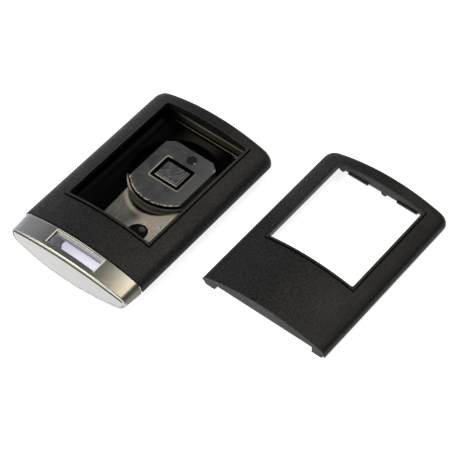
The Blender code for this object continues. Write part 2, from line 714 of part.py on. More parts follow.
def make_end_cap(shell, case, finish_material):
    cap = lens_solid("end_cap", CASE_LENS, -HEAD_LENGTH, 0, shell, inset=HEAD_INSET,
                     start_bow=-HEAD_BOW, start_radii=(HEAD_EDGE, HEAD_EDGE), start_taper=HEAD_TAPER,
                     lean=HEAD_LEAN)
    hollow_start = END_RECESS_DEPTH + HEAD_WALL - HEAD_LENGTH
    cut(cap, lens_solid("cap_hollow", CASE_LENS, hollow_start, OVERRUN, shell,
                        inset=HEAD_INSET + HEAD_WALL, start_bow=-HEAD_BOW, start_taper=HEAD_TAPER,
                        lean=HEAD_LEAN, is_cutter=True))
    cut(cap, lens_solid("end_recess", CASE_LENS, -HEAD_LENGTH - OVERRUN,
                        END_RECESS_DEPTH - HEAD_LENGTH, shell,
                        inset=HEAD_INSET + HEAD_TAPER + END_BORDER, start_bow=-HEAD_BOW,
                        end_bow=-HEAD_BOW, lean=HEAD_LEAN, is_cutter=True))
    cut(cap, ring_slot("cap_slot", 0, case))
    cut(cap, throat("cap_throat", -RING_SLOT_START - GAP, OVERRUN, THROAT_TOP, case))
    cap.data.materials.append(finish_material)
    return cap


def make_end_plate(shell, finish_material):
    """The pale plate set into the head's end, bowed as the head is."""
    plate = lens_solid("end_plate", CASE_LENS, -HEAD_LENGTH, END_RECESS_DEPTH - GAP - HEAD_LENGTH,
                       shell, inset=HEAD_INSET + HEAD_TAPER + END_BORDER + GAP, start_bow=-HEAD_BOW,
                       end_bow=-HEAD_BOW, start_radii=(END_PLATE_EDGE, END_PLATE_EDGE),
                       lean=HEAD_LEAN)
    plate.data.materials.append(finish_material)
    return plate


def make_cap_core(shell, case, finish_material):
    wall = HEAD_WALL + GAP
    core = lens_solid("cap_core", CASE_LENS, END_RECESS_DEPTH + wall - HEAD_LENGTH, 0, shell,
                      inset=HEAD_INSET + wall, start_bow=-HEAD_BOW, start_taper=HEAD_TAPER,
                      lean=HEAD_LEAN)
    half = TONGUE_THICKNESS / 2
    join(core, block("tongue", (-TONGUE_HALF_WIDTH, -RING_SLOT_START, -half),
                     (TONGUE_HALF_WIDTH, TONGUE_LENGTH, half), case, is_cutter=True))
    for name, left, right in (("left_cheek", THROAT_LEFT - CHEEK_WALL, THROAT_LEFT + GAP),
                              ("right_cheek", THROAT_RIGHT - GAP, THROAT_RIGHT + CHEEK_WALL)):
        join(core, block(name, (left, -RING_SLOT_START, -CHEEK_DEPTH), (right, CHEEK_LENGTH, CHEEK_TOP),
                         case, is_cutter=True))
    cut(core, ring_slot("core_slot", RING_SLOT_STEP, case))
    cut(core, throat("core_throat", -RING_SLOT_START - RING_SLOT_STEP - GAP, TONGUE_LENGTH + OVERRUN,
                     THROAT_TOP, case))
    rib_near = GAP - RING_SLOT_START - RING_SLOT_STEP
    for index in range(RIB_COUNT):
        left = RIB_SPAN * index / (RIB_COUNT - 1) - RIB_START - RIB_WIDTH / 2
        join(core, block(f"rib_{index}", (left, rib_near, THROAT_TOP - RIB_DROP),
                         (left + RIB_WIDTH, rib_near + RIB_DEPTH, THROAT_TOP + GAP), case,
                         is_cutter=True))
    notch = [(TONGUE_HALF_WIDTH + GAP, NOTCH_Y - NOTCH_HALF_LENGTH * 1.5),
             (TONGUE_HALF_WIDTH + GAP, NOTCH_Y + NOTCH_HALF_LENGTH * 1.5),
             (TONGUE_HALF_WIDTH - NOTCH_DEPTH, NOTCH_Y)]
    cut(core, prism("tongue_notch", notch, -half - GAP, half + GAP, case, is_cutter=True))
    core.data.materials.append(finish_material)
    return core


def make_detent_spring(case, finish_material):
    """A bowed leaf in the tray, beside the notch in the head's tongue."""
    path = []
    near_x = TONGUE_HALF_WIDTH + GAP + DETENT_SHEET / 2
    for step in range(ARC_STEPS // 2 + 1):
        share = 2 * step / (ARC_STEPS // 2) - 1
        path.append((near_x + DETENT_RISE * share ** 2, NOTCH_Y + DETENT_LENGTH / 2 * share, 0))
    spring = bent_strip("detent_spring", path, 2, DETENT_HEIGHT / 2, DETENT_SHEET, case)
    spring.data.materials.append(finish_material)
    return spring


# The rear cover, which lies beside the case with its outer face up

def rounded_drop(name, centre_x, half_width, near, far, low, high, carrier):
    """A small lug or hook with a round lower end, standing across X."""
    bm = bmesh.new()
    outline = [(centre_x + half_width, high), (centre_x - half_width, high)]
    for step in range(CORNER_STEPS * 2 + 1):
        turn = math.pi + math.pi * step / (CORNER_STEPS * 2)
        outline.append((centre_x + half_width * math.cos(turn),
                        low + half_width + half_width * math.sin(turn)))
    face = bm.faces.new([bm.verts.new((x, near, z)) for x, z in outline])
    drawn = bmesh.ops.extrude_face_region(bm, geom=[face])["geom"]
    moved = [item for item in drawn if isinstance(item, bmesh.types.BMVert)]
    bmesh.ops.translate(bm, verts=moved, vec=(0, far - near, 0))
    return finish(name, bm, carrier, is_cutter=True)


def make_rear_cover(cover, finish_material):
    shell = lens_solid("rear_cover", COVER_LENS, GAP, SHELL_LENGTH, cover, end_bow=FAR_BOW,
                       end_radii=(FAR_CORNER_RADIUS, FAR_EDGE_RADIUS), bottom=0)
    join(shell, lens_solid("cover_lap", COVER_LENS, GAP, SHELL_LENGTH - LAP_INSET, cover,
                           inset=LAP_INSET, end_bow=FAR_BOW,
                           end_radii=(FAR_CORNER_RADIUS - LAP_INSET, GAP),
                           top=COVER_EDGE_RADIUS / 2, bottom=-LAP_HEIGHT, is_cutter=True))
    cut(shell, lens_solid("cover_hollow", COVER_LENS, GAP + BULKHEAD, SHELL_LENGTH - SKIN, cover,
                          inset=SKIN, end_bow=FAR_BOW, end_radii=(FAR_CORNER_RADIUS - SKIN, GAP),
                          bottom=0, is_cutter=True))
    inner = COVER_HALF_WIDTH - LAP_INSET - LAP_WALL
    cut(shell, block("lap_hollow", (-inner, GAP + BULKHEAD, -LAP_HEIGHT - OVERRUN),
                     (inner, SHELL_LENGTH - LAP_INSET - LAP_WALL, GAP), cover,
                     corner=FAR_CORNER_RADIUS - LAP_INSET - LAP_WALL + GAP, is_cutter=True))
    wall_half = LUG_CENTRE - LUG_WIDTH / 2
    cut(shell, block("wall_opening", (-wall_half, -OVERRUN, -LAP_HEIGHT - OVERRUN),
                     (wall_half, GAP + BULKHEAD + GAP, END_WALL_HEIGHT), cover, is_cutter=True))
    for side in (-1, 1):
        join(shell, rounded_drop("lug_left" if side < 0 else "lug_right", side * LUG_CENTRE,
                                 LUG_WIDTH / 2, GAP, GAP + BULKHEAD, -LUG_HEIGHT,
                                 COVER_EDGE_RADIUS / 2, cover))
    half = collar_half_width(COLLAR_HEIGHT, COVER_LENS)
    far = REAR_WINDOW_END
    join(shell, window_collar("rear_near_collar", cover_skin,
                              REAR_WINDOW_START - COLLAR_WALL, REAR_WINDOW_START + GAP, -half, half,
                              COLLAR_HEIGHT, cover))
    join(shell, window_collar("rear_far_collar", cover_skin, far - GAP, far + COLLAR_WALL, -half,
                              half, COLLAR_HEIGHT, cover))
    join(shell, window_lip("rear_lip", cover_skin, REAR_WINDOW_WIDTH, REAR_WINDOW_LENGTH,
                           REAR_WINDOW_START, REAR_LIP_WIDTH, REAR_LIP_HEIGHT, cover))
    half = REAR_WINDOW_WIDTH / 2
    cut(shell, block("rear_window", (-half, REAR_WINDOW_START, -OVERRUN),
                     (half, far, COVER_RISE + OVERRUN), cover, corner=WINDOW_CORNER,
                     is_cutter=True))
    left_edge = -REAR_WINDOW_WIDTH / 2
    for name, hook_x in (("left_hook", left_edge + LEFT_HOOK_INSET),
                         ("middle_hook", left_edge + MIDDLE_HOOK_INSET)):
        top = cover_skin(hook_x, SKIN / 2)
        low = min(COLLAR_HEIGHT, cover_skin(hook_x, SKIN)) - HOOK_DROP
        join(shell, rounded_drop(name, hook_x, HOOK_WIDTH / 2, far + GAP, far + COLLAR_WALL / 2 + GAP,
                                 low, top, cover))
    for name, tab_x in (("left_tab", left_edge + LEFT_TAB_INSET),
                        ("right_tab", left_edge + RIGHT_TAB_INSET)):
        join(shell, block(name, (tab_x - TAB_WIDTH / 2, far - TAB_REACH, COLLAR_HEIGHT - TAB_DROP),
                          (tab_x + TAB_WIDTH / 2, far + COLLAR_WALL / 2, COLLAR_HEIGHT + GAP), cover,
                          is_cutter=True))
    shell.data.materials.append(finish_material)
    return shell


def shade(piece):
    piece.data.shade_smooth()
    piece.data.set_sharp_from_angle(angle=math.radians(30))


def main():
    clear_scene()
    shell = anchor("shell_anchor", (OUTLINE_X, -ORIGIN_Y, SEAM_HEIGHT))
    case = anchor("case_anchor", (0, -ORIGIN_Y, INNER_HEIGHT))
    cover = anchor("cover_anchor", (COVER_X, COVER_Y - ORIGIN_Y, LUG_HEIGHT))
    black = material("textured_black", (0.022, 0.022, 0.024), 0.62)
    tray_grey = material("tray_dark_grey", (0.035, 0.036, 0.04), 0.5)
    pad_grey = material("pad_grey", (0.06, 0.06, 0.07), 0.45)
    satin = material("satin_metal", (0.62, 0.62, 0.60), 0.3, 1.0)
    plate_silver = material("pale_plate", (0.78, 0.79, 0.8), 0.4, 0.6)
    core_grey = material("core_grey", (0.4, 0.4, 0.44), 0.5)
    steel = material("bright_steel", (0.55, 0.55, 0.55), 0.3, 1.0)
    make_front_frame(shell, case, black)
    make_inner_tray(shell, case, tray_grey)
    make_push_pad(case, pad_grey)
    make_pad_spring(case, steel)
    make_spring_plate(case, tray_grey)
    make_end_cap(shell, case, satin)
    make_end_plate(shell, plate_silver)
    make_cap_core(shell, case, core_grey)
    make_detent_spring(case, steel)
    make_rear_cover(cover, black)
    for piece in case_collection.objects:
        if piece.type == "MESH":
            shade(piece)


main()
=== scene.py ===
# Remote key case, open, its rear cover beside it. Lengths are metres unless a name says mm.
import math

import bmesh
import bpy
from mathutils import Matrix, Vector


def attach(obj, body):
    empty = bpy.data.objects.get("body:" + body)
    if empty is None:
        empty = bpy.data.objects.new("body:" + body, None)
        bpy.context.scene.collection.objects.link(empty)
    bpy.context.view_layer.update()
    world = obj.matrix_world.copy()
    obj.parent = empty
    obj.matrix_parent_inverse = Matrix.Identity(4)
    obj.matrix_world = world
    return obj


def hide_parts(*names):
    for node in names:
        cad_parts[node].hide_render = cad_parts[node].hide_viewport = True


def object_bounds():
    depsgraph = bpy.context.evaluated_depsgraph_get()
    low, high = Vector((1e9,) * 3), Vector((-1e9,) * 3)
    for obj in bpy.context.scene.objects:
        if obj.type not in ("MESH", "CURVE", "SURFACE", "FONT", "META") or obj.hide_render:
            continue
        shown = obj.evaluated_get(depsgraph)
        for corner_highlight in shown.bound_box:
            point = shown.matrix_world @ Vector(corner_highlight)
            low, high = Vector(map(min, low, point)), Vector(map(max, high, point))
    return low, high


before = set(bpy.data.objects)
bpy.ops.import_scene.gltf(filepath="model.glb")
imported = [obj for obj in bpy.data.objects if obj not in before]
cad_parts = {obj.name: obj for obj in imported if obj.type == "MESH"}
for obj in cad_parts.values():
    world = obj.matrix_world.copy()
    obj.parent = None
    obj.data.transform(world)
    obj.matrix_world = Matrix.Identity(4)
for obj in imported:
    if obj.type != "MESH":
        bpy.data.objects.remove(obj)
cad_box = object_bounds()


# ---- Photographer's camera --------------------------------------------------------------------
# A long lens on a stand, looking down on the table from the case's metal end, so that the window,
# the head's end face and the cover all show.
VIEW_AZIMUTH = math.radians(38.589)
VIEW_ELEVATION = math.radians(51.487)
VIEW_TARGET = Vector((0.02307, 0.008047, 0.0))
VIEW_DISTANCE = 0.55194
LENS_MM = 154.36
SENSOR_MM = 36.0


def outward_from(azimuth, elevation):
    """The direction from the object to a place at these angles; azimuth 0 is its near side."""
    return Vector((math.sin(azimuth) * math.cos(elevation),
                   -math.cos(azimuth) * math.cos(elevation), math.sin(elevation)))


towards_camera = outward_from(VIEW_AZIMUTH, VIEW_ELEVATION)
lens = bpy.data.cameras.new("view_from_metal_end")
lens.lens = LENS_MM
lens.sensor_width = SENSOR_MM
lens.clip_start = 0.01
camera = bpy.data.objects.new("view_from_metal_end", lens)
camera.location = VIEW_TARGET + towards_camera * VIEW_DISTANCE
camera.rotation_euler = towards_camera.to_track_quat("Z", "Y").to_euler()
bpy.context.scene.collection.objects.link(camera)
bpy.context.scene.camera = camera
bpy.context.scene.view_settings.view_transform = "Standard"


# ---- Front shell of the case ------------------------------------------------------------------
# One ABS moulding with the window and its raised lip. The mould's outer faces are spark eroded,
# which leaves a fine matt grain; the lip and the inside are smoother.
MM = 0.001
MERGE_DISTANCE = 2e-6                             # closes the seams between the CAD mesh's faces
FLAT_ANGLE = math.radians(0.4)                    # faces this close to one plane become one
SHARP_ANGLE = math.radians(32)                    # edges sharper than this aren't shaded over
GRAIN_MM = 0.5                                    # the real 0.1 mm, drawn coarser to show
GRAIN_DEPTH_MM = 0.1
PATCH_MM = 9.0                                    # size of the slightly duller patches
FRONT_WINDOW_MM = ((0.0, 6.325), (14.8, 22.0))    # its centre and half sizes


def softened(node, name):
    """A merged, smooth-shaded copy of a node's solid, with its sharp edges kept."""
    mesh = bmesh.new()
    mesh.from_mesh(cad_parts[node].data)
    bmesh.ops.remove_doubles(mesh, verts=mesh.verts, dist=MERGE_DISTANCE)
    bmesh.ops.dissolve_limit(mesh, angle_limit=FLAT_ANGLE, verts=mesh.verts, edges=mesh.edges)
    for face in mesh.faces:
        face.smooth = True
    for edge in mesh.edges:
        edge.smooth = len(edge.link_faces) == 2 and edge.calc_face_angle() < SHARP_ANGLE
    made = bpy.data.meshes.new(name)
    mesh.to_mesh(made)
    mesh.free()
    piece = bpy.data.objects.new(name, made)
    bpy.context.scene.collection.objects.link(piece)
    return piece


def hex_colour(text):
    """An sRGB hex colour as linear values."""
    linear = []
    for start in (0, 2, 4):
        value = int(text[start:start + 2], 16) / 255
        linear.append(value / 12.92 if value <= 0.04045 else ((value + 0.055) / 1.055) ** 2.4)
    return (*linear, 1.0)


def new_material(name):
    """A material, its node tree and its shader."""
    made = bpy.data.materials.new(name)
    made.use_nodes = True
    return made, made.node_tree, made.node_tree.nodes["Principled BSDF"]


def add_node(tree, kind, settings=None, inputs=None, output=None):
    """Adds a node, and gives it or the one of its outputs that is named. An input's value is a
    number, a colour, or the socket that feeds it."""
    made = tree.nodes.new(kind)
    for name, value in (settings or {}).items():
        setattr(made, name, value)
    for name, value in (inputs or {}).items():
        socket = made.inputs[name]
        if isinstance(value, bpy.types.NodeSocket):
            tree.links.new(value, socket)
        else:
            socket.default_value = value
    return made.outputs[output] if output else made


def wire(tree, shader, sockets):
    """Feeds the shader's named inputs from sockets."""
    for name, socket in sockets.items():
        tree.links.new(socket, shader.inputs[name])


def together(tree, first, *others):
    """The product of masks: one where all of them are."""
    for other in others:
        first = add_node(tree, "ShaderNodeMath", {"operation": "MULTIPLY"},
                         {0: first, 1: other}, "Value")
    return first


def either(tree, first, *others):
    """The greatest of masks: one where any of them is."""
    for other in others:
        first = add_node(tree, "ShaderNodeMath", {"operation": "MAXIMUM"},
                         {0: first, 1: other}, "Value")
    return first


def ramp_up(tree, value, low, high):
    """Nought below the low value, one above the high one, smooth between."""
    return add_node(tree, "ShaderNodeMapRange", {"interpolation_type": "SMOOTHSTEP"},
                    {"Value": value, "From Min": low, "From Max": high}, "Result")


def ramp_down(tree, value, low, high):
    """One below the low value, nought above the high one, smooth between."""
    return add_node(tree, "ShaderNodeMapRange", {"interpolation_type": "SMOOTHSTEP"},
                    {"Value": value, "From Min": low, "From Max": high,
                     "To Min": 1.0, "To Max": 0.0}, "Result")


def band(tree, value, rise, fall):
    """One between two places, given by where the mask rises and where it falls again."""
    return together(tree, ramp_up(tree, value, *rise), ramp_down(tree, value, *fall))


def passing(tree, mask, start, end, low=0.0, high=1.0):
    """A number that passes evenly from start to end as the mask goes from low to high."""
    return add_node(tree, "ShaderNodeMapRange", {},
                    {"Value": mask, "From Min": low, "From Max": high,
                     "To Min": start, "To Max": end}, "Result")


def paint(tree, below, colour, mask):
    """A colour, or a socket that gives one, laid over the one below through a mask."""
    above = hex_colour(colour) if isinstance(colour, str) else colour
    return add_node(tree, "ShaderNodeMix", {"data_type": "RGBA"},
                    {"Factor": mask, "A": below, "B": above}, "Result")


def places_mm(tree):
    """The place on the piece in millimetres: its vector, and its X, Y and Z."""
    here = add_node(tree, "ShaderNodeTexCoord", output="Object")
    scaled = add_node(tree, "ShaderNodeVectorMath", {"operation": "SCALE"},
                      {"Vector": here, "Scale": 1 / MM}, "Vector")
    axes = add_node(tree, "ShaderNodeSeparateXYZ", {}, {"Vector": scaled}).outputs
    return scaled, axes["X"], axes["Y"], axes["Z"]


def facing(tree):
    """The X, Y and Z of the way that the surface faces."""
    normal = add_node(tree, "ShaderNodeNewGeometry", output="Normal")
    axes = add_node(tree, "ShaderNodeSeparateXYZ", {}, {"Vector": normal}).outputs
    return axes["X"], axes["Y"], axes["Z"]


def outside_box(tree, x, y, box):
    """How far a place lies outside an upright box, given by its centre and half sizes."""
    reach = []
    for value, centre, half in zip((x, y), *box):
        offset = add_node(tree, "ShaderNodeMath", {"operation": "SUBTRACT"},
                          {0: value, 1: centre}, "Value")
        length = add_node(tree, "ShaderNodeMath", {"operation": "ABSOLUTE"}, {0: offset}, "Value")
        reach.append(add_node(tree, "ShaderNodeMath", {"operation": "SUBTRACT"},
                              {0: length, 1: half}, "Value"))
    return either(tree, *reach)


def grained_plastic(name, window_mm, rim_light_colour, shade_from_mm):
    """Grained black ABS, smoother on the window's lip, with painted shade in the crease beside it.
    Its left and far rims are painted in a given colour for how light falls on them, and painted
    shade darkens it towards the far right, from a place on."""
    made, tree, shader = new_material(name)
    place, x, y, _ = places_mm(tree)
    facing_x, facing_y, _ = facing(tree)
    grain = add_node(tree, "ShaderNodeTexNoise", {},
                     {"Vector": place, "Scale": 1 / GRAIN_MM, "Detail": 2.0}, "Fac")
    patches = add_node(tree, "ShaderNodeTexNoise", {},
                       {"Vector": place, "Scale": 1 / PATCH_MM, "Detail": 1.0}, "Fac")
    # left and far rims, painted in the given colour for how light falls on them
    painted_rims = either(tree, ramp_down(tree, facing_x, -0.6, -0.1), ramp_up(tree, facing_y, 0.05, 0.5))
    far_right = add_node(tree, "ShaderNodeMath", {"operation": "MULTIPLY_ADD"},
                         {0: y, 1: 0.4, 2: x}, "Value")
    # painted shade where the light falls off towards the far right
    far_right_shade = ramp_up(tree, far_right, shade_from_mm, shade_from_mm + 45.0)
    flecks = paint(tree, hex_colour("222223"), rim_light_colour, painted_rims)
    flecks = paint(tree, flecks, "0b0b0d", far_right_shade)
    colour = paint(tree, hex_colour("030304"), flecks, ramp_up(tree, grain, 0.42, 0.62))
    from_window = outside_box(tree, x, y, window_mm)
    # painted shade in the crease beside the lip
    crease_shade = band(tree, from_window, (0.62, 0.72), (0.95, 1.15))
    lip = band(tree, from_window, (0.2, 0.3), (0.55, 0.65))
    colour = paint(tree, colour, "000000", crease_shade)
    colour = paint(tree, colour, "2a2b2d", lip)
    bump = add_node(tree, "ShaderNodeBump", {},
                    {"Height": grain, "Distance": GRAIN_DEPTH_MM * MM, "Strength": 1.0}, "Normal")
    wire(tree, shader, {"Base Color": colour,
                        "Specular IOR Level": passing(tree, crease_shade, 0.36, 0.05),
                        "Roughness": passing(tree, patches, 0.44, 0.52, 0.3, 0.7),
                        "Normal": bump})
    return made


# the front shell's left and far rims get a paler painted sheen
grained = grained_plastic("moulded ABS, spark-eroded grain", FRONT_WINDOW_MM, "3b3c40", 15.0)
front_shell = softened("front_frame", "front_shell")
front_shell.data.materials.append(grained)
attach(front_shell, "case")
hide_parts("front_frame")


# ---- Inner tray -------------------------------------------------------------------------------
# Smooth black ABS, pressed into the shell from below. Its floor, round well and platform are worn
# grey and scratched by the electronics module that has been slid in and out, and painted with the
# light and shade that fall on them.
ROUND_WELL_MM = (1.9, 10.725)    # the round well, with the platform in it and the low rim about it
PLATFORM_RADIUS_MM = 13.0
RIM_RADIUS_MM = 13.5
# the scooped groove before the well, drawn with painted shade and a painted highlight at its edge
GROOVE_MM = (2.26, 4.67)         # the scooped floor before the well
GROOVE_RADIUS_MM = 9.47
FLOOR_HEIGHT_MM = 4.4
NOTCH_MM = (6.4, -11.175)        # the half-round finger notch
NOTCH_RADIUS_MM = 3.15
DIMPLE_MM = (3.2, 17.525)        # the shallow dimple in the platform
DIMPLE_RADIUS_MM = 1.4
PAD_CENTRE_MM = (1.9, 10.225)
MOAT_HALF_MM = (4.95, 4.05)      # half sizes of the black moat about the pad
PAD_RIM_HALF_MM = (5.65, 4.75)   # half sizes of the worn lip's outer edge, and its corners
PAD_RIM_CORNER_MM = 0.9
LEFT_WALL_MM = -14.5
FAR_WALL_MM = 26.3
WEAR_MM = 0.3                    # the grain of a rubbed place
SCRATCH_MM = 0.22                # a scratch's width: the real 0.05 mm, drawn coarser to show
SCRATCH_DEPTH_MM = 0.008
BLOTCH_MM = 3.0                  # the size of the darker and paler patches
CLUSTER_MM = 5.0                 # the size of the places where specks gather
BURR_MM = 0.7                    # burrs along the platform's edge, and flecks beside them
FLECK_MM = 0.5


def distance_from(tree, x, y, centre):
    """How far a place lies from an upright axis."""
    flat = add_node(tree, "ShaderNodeCombineXYZ", {}, {"X": x, "Y": y}, "Vector")
    return add_node(tree, "ShaderNodeVectorMath", {"operation": "DISTANCE"},
                    {0: flat, 1: (*centre, 0.0)}, "Value")


def spot(tree, x, y, centre, full, none):
    """A round spot: whole out to one distance from its centre, gone at the other."""
    return ramp_down(tree, distance_from(tree, x, y, centre), full, none)


def speckle(tree, place, size_mm, low, high, stretch=(1.0, 1.0, 1.0), detail=3.0):
    """A noise mask whose grains have the given size."""
    pulled = add_node(tree, "ShaderNodeVectorMath", {"operation": "MULTIPLY"},
                      {0: place, 1: tuple(share / size_mm for share in stretch)}, "Vector")
    grains = add_node(tree, "ShaderNodeTexNoise", {},
                      {"Vector": pulled, "Scale": 1.0, "Detail": detail}, "Fac")
    return ramp_up(tree, grains, low, high)


def outside_rounded_box(tree, across, along, half, radius):
    """How far a place lies outside a box about the origin whose corners have a radius."""
    reach = []
    for value, size in zip((across, along), half):
        length = add_node(tree, "ShaderNodeMath", {"operation": "ABSOLUTE"}, {0: value}, "Value")
        past = add_node(tree, "ShaderNodeMath", {"operation": "SUBTRACT"},
                        {0: length, 1: size - radius}, "Value")
        reach.append(either(tree, past, 0.0))
    return add_node(tree, "ShaderNodeMath", {"operation": "SUBTRACT"},
                    {0: distance_from(tree, *reach, (0.0, 0.0)), 1: radius}, "Value")


worn_and_painted_light, tree, shader = new_material("moulded ABS, polished, worn, with painted light and shade")
place, x, y, z = places_mm(tree)
_, facing_y, facing_z = facing(tree)
upward = ramp_up(tree, facing_z, 0.5, 0.8)
from_well = distance_from(tree, x, y, ROUND_WELL_MM)
from_notch = distance_from(tree, x, y, NOTCH_MM)
from_groove = distance_from(tree, x, y, GROOVE_MM)
fine = speckle(tree, place, WEAR_MM, 0.35, 0.65)
strokes = speckle(tree, place, SCRATCH_MM, 0.25, 0.75, (1.0, 0.1, 1.0))
blotches = speckle(tree, place, BLOTCH_MM, 0.3, 0.7)

# the floor: black, and kept black in the left wall's painted shadow and in the painted shade of
# the scooped groove; bright, worn and scratched before the round well, where light falls on it
low_floor = together(tree, upward,
                     ramp_down(tree, z, FLOOR_HEIGHT_MM - 0.1, FLOOR_HEIGHT_MM + 0.1),
                     ramp_up(tree, from_well, RIM_RADIUS_MM, RIM_RADIUS_MM + 0.1))
grey = paint(tree, hex_colour("3f3f3c"), "74726b", strokes)
warm = paint(tree, hex_colour("877e74"), "bcb2a6", fine)
rubbed_and_lit = paint(tree, grey, warm, ramp_up(tree, x, 0.8, 4.5))
# painted highlight on the scooped groove's soft edge
groove_edge_highlight = band(tree, from_groove, (GROOVE_RADIUS_MM, GROOVE_RADIUS_MM + 0.3),
                 (GROOVE_RADIUS_MM + 0.5, GROOVE_RADIUS_MM + 1.9))
rubbed_and_lit = paint(tree, rubbed_and_lit, "a09989", groove_edge_highlight)
rubbed_and_lit = paint(tree, rubbed_and_lit, "2f363c", spot(tree, x, y, (1.9, -6.9), -1.5, 4.0))
# the edge of the left wall's painted shadow on the floor
left_wall_shadow_edge = add_node(tree, "ShaderNodeMath", {"operation": "MULTIPLY_ADD"},
                     {0: y, 1: 0.046, 2: x}, "Value")    # it runs a little askew
near_floor = together(tree, low_floor, ramp_up(tree, left_wall_shadow_edge, -6.6, -6.0),
                      ramp_down(tree, y, -1.0, 2.0),
                      ramp_up(tree, from_groove, GROOVE_RADIUS_MM - 0.6, GROOVE_RADIUS_MM + 0.2))
colour = paint(tree, hex_colour("040405"), rubbed_and_lit, near_floor)
far_floor = together(tree, low_floor, ramp_up(tree, y, 16.0, 25.0),
                     band(tree, x, (-9.0, -1.0), (2.0, 9.0)))
colour = paint(tree, colour, "2a281f", far_floor)
left_corner = together(tree, low_floor,
                       band(tree, x, (LEFT_WALL_MM - 0.25, LEFT_WALL_MM - 0.1),
                            (LEFT_WALL_MM + 0.1, LEFT_WALL_MM + 0.25)))
colour = paint(tree, colour, "0f0f10", left_corner)

# the finger notch: painted black as shade in the hollow, with a painted soft gleam where the
# hollow turns up
colour = paint(tree, colour, "131314",
               ramp_down(tree, from_notch, NOTCH_RADIUS_MM, NOTCH_RADIUS_MM + 0.15))
gleam = together(tree,
                 ramp_down(tree, from_notch, NOTCH_RADIUS_MM - 0.45, NOTCH_RADIUS_MM - 0.05),
                 spot(tree, x, y, (6.7, -9.0), 0.2, 1.6))
colour = paint(tree, colour, "45413a", gleam)

# the low rim of the round well, pale, with a painted highlight brightest at its left end, and
# painted shade on the slope outside it
rim = together(tree, band(tree, from_well, (PLATFORM_RADIUS_MM - 0.05, PLATFORM_RADIUS_MM + 0.05),
                          (RIM_RADIUS_MM, RIM_RADIUS_MM + 0.1)),
               ramp_down(tree, y, 0.5, 3.5), ramp_up(tree, z, 2.6, 3.2))
ring_with_highlight = paint(tree, hex_colour("4b483d"), "b3ab9b", spot(tree, x, y, (-6.2, 0.2), 0.5, 5.0))
colour = paint(tree, colour, ring_with_highlight, rim)
slope_shade = together(tree, band(tree, from_well, (RIM_RADIUS_MM - 0.05, RIM_RADIUS_MM),
                            (RIM_RADIUS_MM + 0.2, RIM_RADIUS_MM + 1.1)),
                 ramp_down(tree, y, -1.5, 1.5), ramp_up(tree, x, -6.5, -3.0))
colour = paint(tree, colour, "46433a", slope_shade)

# the platform: even and dark, paler to the right, with burrs along its round edge, a painted
# highlight on its far right edge, and painted shade in its dimple with a painted glint on the
# dimple's rim
top = together(tree, upward, band(tree, z, (4.75, 4.85), (5.3, 5.5)),
               ramp_down(tree, from_well, PLATFORM_RADIUS_MM - 0.1, PLATFORM_RADIUS_MM))
specks = together(tree, speckle(tree, place, WEAR_MM, 0.55, 0.7),
                  speckle(tree, place, CLUSTER_MM, 0.45, 0.7))
plain = paint(tree, hex_colour("37393b"), "484a4b", blotches)
plain = paint(tree, plain, "545557", ramp_up(tree, x, 3.0, 12.0))
plain = paint(tree, plain, "72706b", specks)
# painted highlight where the platform's far right edge catches light
plain = paint(tree, plain, "a39a88", spot(tree, x, y, (11.6, 18.4), 0.2, 1.4))
# painted shade in the dimple
plain = paint(tree, plain, "242426",
              spot(tree, x, y, DIMPLE_MM, DIMPLE_RADIUS_MM, DIMPLE_RADIUS_MM + 0.25))
# a painted glint on the dimple's rim
plain = paint(tree, plain, "a5a196", spot(tree, x, y, (4.5, 17.2), 0.1, 0.5))
colour = paint(tree, colour, plain, top)
burr = together(tree, top, ramp_up(tree, from_well, 12.15, 12.45), ramp_down(tree, y, 1.5, 4.0),
                speckle(tree, place, BURR_MM, 0.46, 0.62))
colour = paint(tree, colour, "b9ad9d", burr)
flecks = together(tree, top, ramp_up(tree, from_well, 11.3, 12.3), ramp_down(tree, y, 0.0, 3.0),
                  speckle(tree, place, FLECK_MM, 0.58, 0.66))
colour = paint(tree, colour, "b9ad9d", flecks)
# the platform's side by the frame's right wall, painted lighter to take away the shade in the gap
# there
right_gap_lightened = together(tree, ramp_up(tree, x, 10.9, 11.1), band(tree, y, (1.8, 2.6), (18.6, 19.4)),
                     ramp_down(tree, z, 4.9, 5.0),
                     ramp_down(tree, from_well, PLATFORM_RADIUS_MM - 0.05,
                               PLATFORM_RADIUS_MM + 0.05))
colour = paint(tree, colour, "4c4d4e", right_gap_lightened)

# the push pad's well: a moat painted black as shade, with painted highlights on its lip, brightest
# on its left
from_pad = outside_box(tree, x, y, (PAD_CENTRE_MM, MOAT_HALF_MM))
moat_shade = together(tree, ramp_down(tree, from_pad, 0.2, 0.3), ramp_down(tree, z, 5.0, 5.15))
colour = paint(tree, colour, "030304", moat_shade)
across, along = (add_node(tree, "ShaderNodeMath", {"operation": "SUBTRACT"},
                          {0: value, 1: centre}, "Value")
                 for value, centre in zip((x, y), PAD_CENTRE_MM))
from_rim = outside_rounded_box(tree, across, along, PAD_RIM_HALF_MM, PAD_RIM_CORNER_MM)
lip_highlight = together(tree, top, band(tree, from_rim, (-0.5, -0.4), (-0.1, 0.05)))
for shade, part in (("6d685b", ramp_down(tree, along, 3.6, 4.4)),
                    ("8f8877", ramp_down(tree, along, -4.4, -3.8)),
                    ("a39b88", ramp_down(tree, across, -4.2, -3.0))):
    colour = paint(tree, colour, shade, together(tree, lip_highlight, part))

